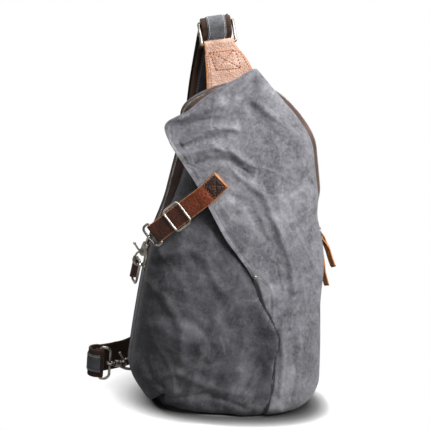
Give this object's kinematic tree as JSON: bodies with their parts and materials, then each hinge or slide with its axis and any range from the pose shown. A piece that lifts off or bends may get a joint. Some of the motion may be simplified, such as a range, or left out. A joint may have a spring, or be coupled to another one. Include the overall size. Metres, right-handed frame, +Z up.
{
  "type": "sling bag",
  "caption": "Upright waxed-canvas sling bag with a diagonal wrap-over flap, arched two-way zip, leather top loop and a canvas-faced webbing strap that clips to a lower corner.",
  "frame": {"origin": "centre of the outline's foot on the underside of the bottom panel, at the seam plane's middle", "axes": "+Z up, -Y the front face, +X towards the side with the zip sliders"},
  "size_m": [0.3167, 0.1785, 0.4925],
  "materials": {
    "waxed_canvas": "waxed cotton canvas, chalky creases",
    "lining_cotton": "plain cotton",
    "base_board": "stiffening board",
    "foam": "padding",
    "zip_tape": "woven tape",
    "antique_nickel": "worn antique nickel plating",
    "brown_webbing": "heavy cotton webbing",
    "tan_leather": "pebbled, orange edge paint",
    "brown_leather": "pull-up leather, lighter where bent"
  },
  "bodies": {
    "bag": {"back_panel": "waxed_canvas", "back_foam_pad": "foam", "back_lining": "lining_cotton", "front_panel": "waxed_canvas", "front_lining": "lining_cotton", "side_gusset_left": "waxed_canvas", "side_gusset_right": "waxed_canvas", "bottom_panel": "waxed_canvas", "base_board": "base_board", "inner_pocket": "lining_cotton", "front_flap": "waxed_canvas", "flap_rivet": "antique_nickel", "zip_tape_front": "zip_tape", "zip_tape_back": "zip_tape", "zip_chain": "antique_nickel", "zip_stop_left": "antique_nickel", "zip_stop_right": "antique_nickel", "top_leather": "tan_leather", "strap_webbing": "brown_webbing", "strap_facing": "waxed_canvas", "strap_adjuster": "antique_nickel", "side_strap": "brown_leather", "side_tab": "brown_leather", "end_tab": "brown_leather"},
    "top_ring": {"top_ring": "antique_nickel"},
    "side_buckle": {"side_buckle": "antique_nickel"},
    "side_ring": {"side_ring": "antique_nickel"},
    "side_eye": {"side_eye": "antique_nickel"},
    "side_hook": {"side_hook_body": "antique_nickel", "side_pin": "antique_nickel"},
    "side_gate": {"side_gate": "antique_nickel"},
    "side_d_ring": {"side_d_ring": "antique_nickel"},
    "end_ring": {"end_ring": "antique_nickel"},
    "end_eye": {"end_eye": "antique_nickel"},
    "end_hook": {"end_hook_body": "antique_nickel", "end_pin": "antique_nickel"},
    "end_gate": {"end_gate": "antique_nickel"},
    "end_d_ring": {"end_d_ring": "antique_nickel"},
    "zip_slider_upper": {"zip_slider_upper": "antique_nickel"},
    "zip_slider_lower": {"zip_slider_lower": "antique_nickel"},
    "zip_pull_upper": {"pull_ring_upper": "antique_nickel", "pull_leather_upper": "brown_leather"},
    "zip_pull_lower": {"pull_ring_lower": "antique_nickel", "pull_leather_lower": "brown_leather"}
  },
  "joints": [
    {"name": "top_ring_swing", "type": "hinge", "parent": "bag", "child": "top_ring", "pos_m": [-0.0375, 0.0503, 0.457], "axis": [0.9799, 0, 0.1994], "range_deg": [-4, 2.5]},
    {"name": "side_buckle_slide", "type": "slide", "parent": "bag", "child": "side_buckle", "axis": [-0.6894, 0.2404, -0.6833], "range_m": [-0.006, 0.007]},
    {"name": "side_ring_swing", "type": "hinge", "parent": "bag", "child": "side_ring", "pos_m": [-0.1085, -0.0285, 0.2255], "axis": [-0.6398, 0.2404, 0.73], "range_deg": [-1.5, 1.5]},
    {"name": "side_eye_swing", "type": "hinge", "parent": "side_ring", "child": "side_eye", "pos_m": [-0.11554, -0.02546, 0.21833], "axis": [-0.6398, 0.2404, 0.73], "range_deg": [-1.5, 1.5]},
    {"name": "side_hook_swivel", "type": "hinge", "parent": "side_eye", "child": "side_hook", "pos_m": [-0.11586, -0.02517, 0.21724], "axis": [-0.2706, 0.2406, -0.9321], "range_deg": [-8, 8]},
    {"name": "side_gate_hinge", "type": "hinge", "parent": "side_hook", "child": "side_gate", "pos_m": [-0.12227, -0.02043, 0.19917], "axis": [-0.0671, -0.9706, -0.2311], "range_deg": [0, 13], "stiffness_Nm_per_rad": 0.02, "springref_deg": -34.38},
    {"name": "side_d_ring_swing", "type": "hinge", "parent": "bag", "child": "side_d_ring", "pos_m": [-0.12856, 0.00062, 0.17233], "axis": [0.14, 0, 0.9901], "range_deg": [-4, 4]},
    {"name": "end_ring_swing", "type": "hinge", "parent": "bag", "child": "end_ring", "pos_m": [-0.16025, 0.056, 0.0245], "axis": [0, 0, 1], "range_deg": [-1.5, 1.5]},
    {"name": "end_eye_swing", "type": "hinge", "parent": "end_ring", "child": "end_eye", "pos_m": [-0.14775, 0.056, 0.0245], "axis": [0, 0, 1], "range_deg": [-1.5, 1.5]},
    {"name": "end_hook_swivel", "type": "hinge", "parent": "end_eye", "child": "end_hook", "pos_m": [-0.14699, 0.05641, 0.02436], "axis": [0.866, 0.4733, -0.1611], "range_deg": [-8, 8]},
    {"name": "end_gate_hinge", "type": "hinge", "parent": "end_hook", "child": "end_gate", "pos_m": [-0.12979, 0.06588, 0.02229], "axis": [0.4861, -0.8724, 0.0503], "range_deg": [-13, 0], "stiffness_Nm_per_rad": 0.02, "springref_deg": 34.38},
    {"name": "end_d_ring_swing", "type": "hinge", "parent": "bag", "child": "end_d_ring", "pos_m": [-0.11701, 0.056, 0.03408], "axis": [0, 0, 1], "range_deg": [-4, 4]},
    {"name": "zip_slider_upper_travel", "type": "hinge", "parent": "bag", "child": "zip_slider_upper", "pos_m": [-2.0702, 0.025, -0.095], "axis": [0, 1, 0], "range_deg": [-0.6, 0.1]},
    {"name": "zip_slider_lower_travel", "type": "hinge", "parent": "bag", "child": "zip_slider_lower", "pos_m": [-2.0702, 0.025, -0.095], "axis": [0, 1, 0], "range_deg": [-0.1, 0.6]},
    {"name": "zip_pull_upper_swing", "type": "hinge", "parent": "zip_slider_upper", "child": "zip_pull_upper", "pos_m": [0.10969, 0.025, 0.22804], "axis": [0, 1, 0], "range_deg": [-120, 3]},
    {"name": "zip_pull_lower_swing", "type": "hinge", "parent": "zip_slider_lower", "child": "zip_pull_lower", "pos_m": [0.11285, 0.025, 0.20601], "axis": [0, 1, 0], "range_deg": [-7, 3]}
  ]
}
